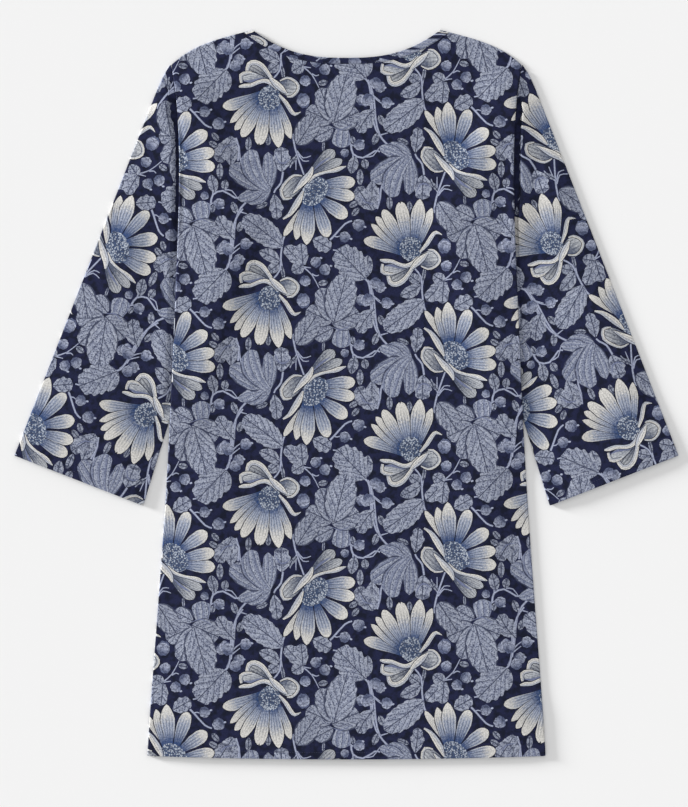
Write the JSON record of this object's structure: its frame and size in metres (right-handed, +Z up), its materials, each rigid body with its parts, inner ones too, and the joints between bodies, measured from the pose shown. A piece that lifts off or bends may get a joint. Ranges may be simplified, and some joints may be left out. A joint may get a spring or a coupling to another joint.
{
  "type": "tunic top",
  "caption": "Long flared tunic top with bracelet sleeves, a shallow bound neck and narrow turned hems, laid out flat with its back up.",
  "frame": {"origin": "on the surface that the tunic lies on, below the middle of its length and width", "axes": "+Z up from the surface through the layers, +Y from the hem to the neck, +X to the right as the back is seen from above"},
  "size_m": [0.8632, 0.9479, 0.0079],
  "materials": {
    "body_cloth": "matte",
    "sleeve_cloth": "matte",
    "binding_cloth": "matte"
  },
  "bodies": {
    "root": {"back_panel": "body_cloth", "front_panel": "body_cloth", "left_sleeve": "sleeve_cloth", "right_sleeve": "sleeve_cloth", "back_neck_binding": "binding_cloth", "front_neck_binding": "binding_cloth"}
  },
  "joints": []
}
